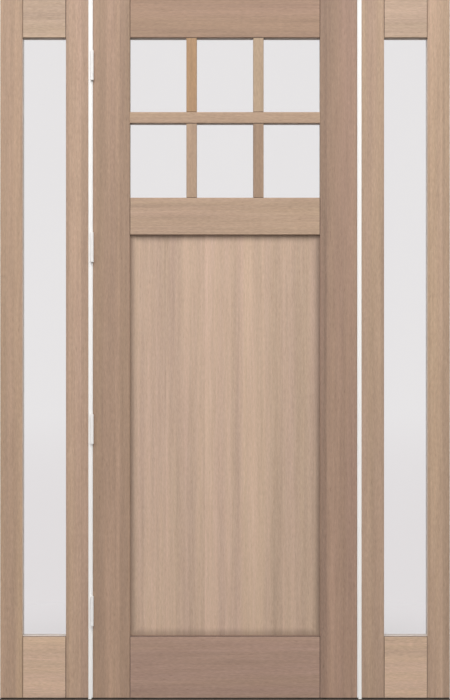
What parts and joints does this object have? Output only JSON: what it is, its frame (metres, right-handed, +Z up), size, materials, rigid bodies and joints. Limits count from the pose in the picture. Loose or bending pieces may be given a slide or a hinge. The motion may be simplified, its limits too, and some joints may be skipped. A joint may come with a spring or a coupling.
{
  "type": "door with sidelights",
  "caption": "Wooden entrance door with a glazed upper part over a flat panel, hung between two fixed glazed sidelights in a white-primed frame.",
  "frame": {"origin": "centre of the sill's underside", "axes": "+X along the wall, +Y from the side the door opens to through the opening, +Z up"},
  "size_m": [1.594, 0.146, 2.478],
  "materials": {
    "door_fir": "unfinished, sanded, upright grain",
    "sidelight_fir": "unfinished, sanded, upright grain",
    "primed_wood": "white primer",
    "sill_hardwood": "dark stained hardwood",
    "glass": "clear double glazing",
    "spacer_foam": "matt tan foam bar",
    "hinge_metal": "white primed steel"
  },
  "bodies": {
    "frame": {"head_jamb": "primed_wood", "hinge_frame_leaves": "hinge_metal", "hinge_pins": "hinge_metal", "left_jamb": "primed_wood", "left_mullion": "primed_wood", "left_sidelight_beads": "sidelight_fir", "left_sidelight_bottom_rail": "sidelight_fir", "left_sidelight_glass": "glass", "left_sidelight_inner_stile": "sidelight_fir", "left_sidelight_outer_stile": "sidelight_fir", "left_sidelight_spacer": "spacer_foam", "left_sidelight_top_rail": "sidelight_fir", "right_jamb": "primed_wood", "right_mullion": "primed_wood", "right_sidelight_beads": "sidelight_fir", "right_sidelight_bottom_rail": "sidelight_fir", "right_sidelight_glass": "glass", "right_sidelight_inner_stile": "sidelight_fir", "right_sidelight_outer_stile": "sidelight_fir", "right_sidelight_spacer": "spacer_foam", "right_sidelight_top_rail": "sidelight_fir", "sill": "sill_hardwood"},
    "door": {"door_bar_lower_left": "door_fir", "door_bar_lower_right": "door_fir", "door_bar_upper_left": "door_fir", "door_bar_upper_right": "door_fir", "door_beads": "door_fir", "door_bottom_rail": "door_fir", "door_cross_bar": "door_fir", "door_hinge_stile": "door_fir", "door_lock_stile": "door_fir", "door_middle_rail": "door_fir", "door_pane_lower_left": "glass", "door_pane_lower_middle": "glass", "door_pane_lower_right": "glass", "door_pane_upper_left": "glass", "door_pane_upper_middle": "glass", "door_pane_upper_right": "glass", "door_panel": "door_fir", "door_spacers": "spacer_foam", "door_top_rail": "door_fir", "hinge_door_leaves": "hinge_metal"}
  },
  "joints": [
    {"name": "door_swing", "type": "hinge", "parent": "frame", "child": "door", "pos_m": [-0.4597, -0.066, 1.2445], "axis": [0, 0, -1], "range_deg": [0, 120]}
  ]
}
